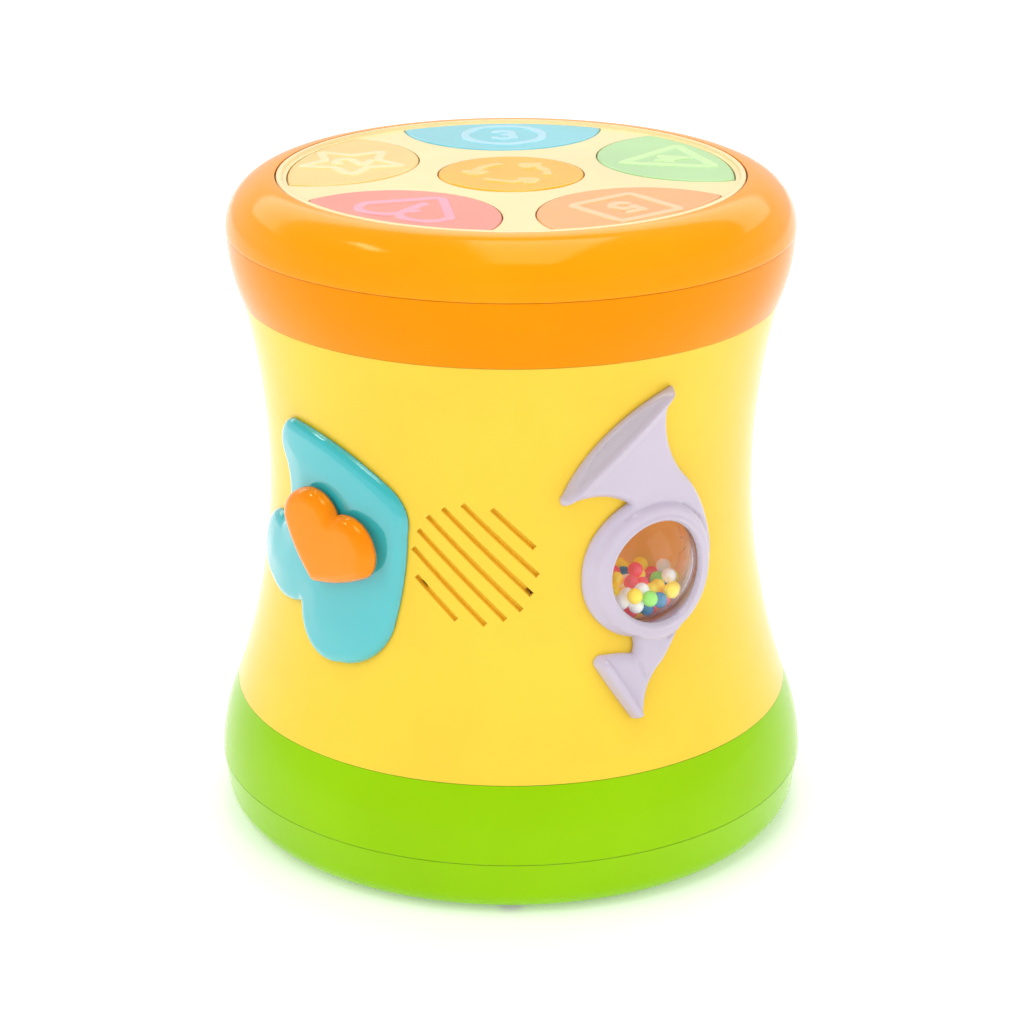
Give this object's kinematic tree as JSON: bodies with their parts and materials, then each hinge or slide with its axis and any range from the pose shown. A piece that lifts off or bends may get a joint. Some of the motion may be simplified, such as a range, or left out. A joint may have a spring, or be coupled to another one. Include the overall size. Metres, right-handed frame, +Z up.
{
  "type": "musical toy drum",
  "caption": "Battery-powered toy drum with a hollow waist, petal-shaped number pads on top, a heart spinner, a rattle ball in a horn plaque and speaker slots.",
  "frame": {"origin": "centre of the underside, on the surface the drum stands on", "axes": "+Z up along the drum's axis, -Y to the front (speaker slots, heart and horn), +X to the right seen from the front"},
  "size_m": [0.1932, 0.1932, 0.2119],
  "materials": {
    "green_shell": "glossy",
    "yellow_shell": "glossy",
    "orange_shell": "glossy",
    "cream_plate": "glossy",
    "turquoise_plaque": "glossy",
    "lavender_plaque": "glossy",
    "heart_plastic": "glossy",
    "red_pad": "satin",
    "yellow_pad": "satin",
    "blue_pad": "satin",
    "green_pad": "satin",
    "orange_pad": "satin",
    "mode_pad_plastic": "satin",
    "clear_plastic": "clear moulded plastic",
    "bead_plastic": "mixed colours",
    "amber_plastic": "glossy",
    "silicone": "matt",
    "foot_rubber": "matt",
    "circuit_board": "satin",
    "led_plastic": "clear",
    "steel_parts": "zinc plated",
    "magnet_ceramic": "matt",
    "speaker_fabric": "woven",
    "cone_paper": "matt",
    "white_plastic": "satin",
    "cell_wrap": "glossy",
    "dark_plastic": "satin",
    "wire_jacket": "satin"
  },
  "bodies": {
    "drum": {"bottom_cover": "green_shell", "base_ring": "green_shell", "front_shell": "yellow_shell", "rear_shell": "yellow_shell", "drum_band": "orange_shell", "top_rim": "orange_shell", "deck_frame": "white_plastic", "top_plate": "cream_plate", "key_dome_1": "silicone", "key_dome_2": "silicone", "key_dome_3": "silicone", "key_dome_4": "silicone", "key_dome_5": "silicone", "mode_dome": "silicone", "pad_board": "circuit_board", "pad_leds": "led_plastic", "deck_screws": "steel_parts", "speaker_cloth": "speaker_fabric", "speaker_basket": "steel_parts", "speaker_cone": "cone_paper", "speaker_magnet": "magnet_ceramic", "speaker_clamp": "white_plastic", "speaker_screws": "steel_parts", "rattle_cradle": "amber_plastic", "rattle_beads": "bead_plastic", "note_plaque": "turquoise_plaque", "horn_plaque": "lavender_plaque", "spindle_bush": "white_plastic", "battery_box": "white_plastic", "battery_cells": "cell_wrap", "battery_contacts": "steel_parts", "battery_door": "green_shell", "door_screw": "steel_parts", "main_board": "circuit_board", "sound_chip": "dark_plastic", "capacitors": "dark_plastic", "wire_sockets": "white_plastic", "board_screws": "steel_parts", "switch_body": "dark_plastic", "base_screws": "steel_parts", "shell_screws": "steel_parts", "rubber_feet": "foot_rubber", "pad_ribbon": "white_plastic", "speaker_wire": "wire_jacket"},
    "mode_pad": {"mode_pad": "mode_pad_plastic"},
    "heart_spinner": {"heart_knob": "heart_plastic", "spindle_washer": "steel_parts", "spindle_screw": "steel_parts"},
    "rattle_ball": {"ball_front_half": "clear_plastic", "ball_rear_half": "amber_plastic"},
    "switch_slider": {"switch_knob": "dark_plastic"},
    "pad_1": {"number_pad_1": "red_pad"},
    "pad_2": {"number_pad_2": "yellow_pad"},
    "pad_3": {"number_pad_3": "blue_pad"},
    "pad_4": {"number_pad_4": "green_pad"},
    "pad_5": {"number_pad_5": "orange_pad"}
  },
  "joints": [
    {"name": "pad_1_press", "type": "slide", "parent": "drum", "child": "pad_1", "axis": [0, 0, -1], "range_m": [0, 0.0015], "stiffness_N_per_m": 900, "springref_m": -0.0004, "deforming": ["key_dome_1"]},
    {"name": "pad_2_press", "type": "slide", "parent": "drum", "child": "pad_2", "axis": [0, 0, -1], "range_m": [0, 0.0015], "stiffness_N_per_m": 900, "springref_m": -0.0004, "deforming": ["key_dome_2"]},
    {"name": "pad_3_press", "type": "slide", "parent": "drum", "child": "pad_3", "axis": [0, 0, -1], "range_m": [0, 0.0015], "stiffness_N_per_m": 900, "springref_m": -0.0004, "deforming": ["key_dome_3"]},
    {"name": "pad_4_press", "type": "slide", "parent": "drum", "child": "pad_4", "axis": [0, 0, -1], "range_m": [0, 0.0015], "stiffness_N_per_m": 900, "springref_m": -0.0004, "deforming": ["key_dome_4"]},
    {"name": "pad_5_press", "type": "slide", "parent": "drum", "child": "pad_5", "axis": [0, 0, -1], "range_m": [0, 0.0015], "stiffness_N_per_m": 900, "springref_m": -0.0004, "deforming": ["key_dome_5"]},
    {"name": "mode_pad_press", "type": "slide", "parent": "drum", "child": "mode_pad", "axis": [0, 0, -1], "range_m": [0, 0.0015], "stiffness_N_per_m": 900, "springref_m": -0.0004, "deforming": ["mode_dome"]},
    {"name": "heart_spin", "type": "hinge", "parent": "drum", "child": "heart_spinner", "pos_m": [-0.05662, -0.06606, 0.1128], "axis": [-0.6508, -0.7593, 0], "continuous": true},
    {"name": "ball_roll", "type": "hinge", "parent": "drum", "child": "rattle_ball", "pos_m": [0.03657, -0.05674, 0.1045], "axis": [0.8406, 0.5417, 0], "continuous": true},
    {"name": "switch_slide", "type": "slide", "parent": "drum", "child": "switch_slider", "axis": [1, 0, 0], "range_m": [0, 0.008]}
  ]
}
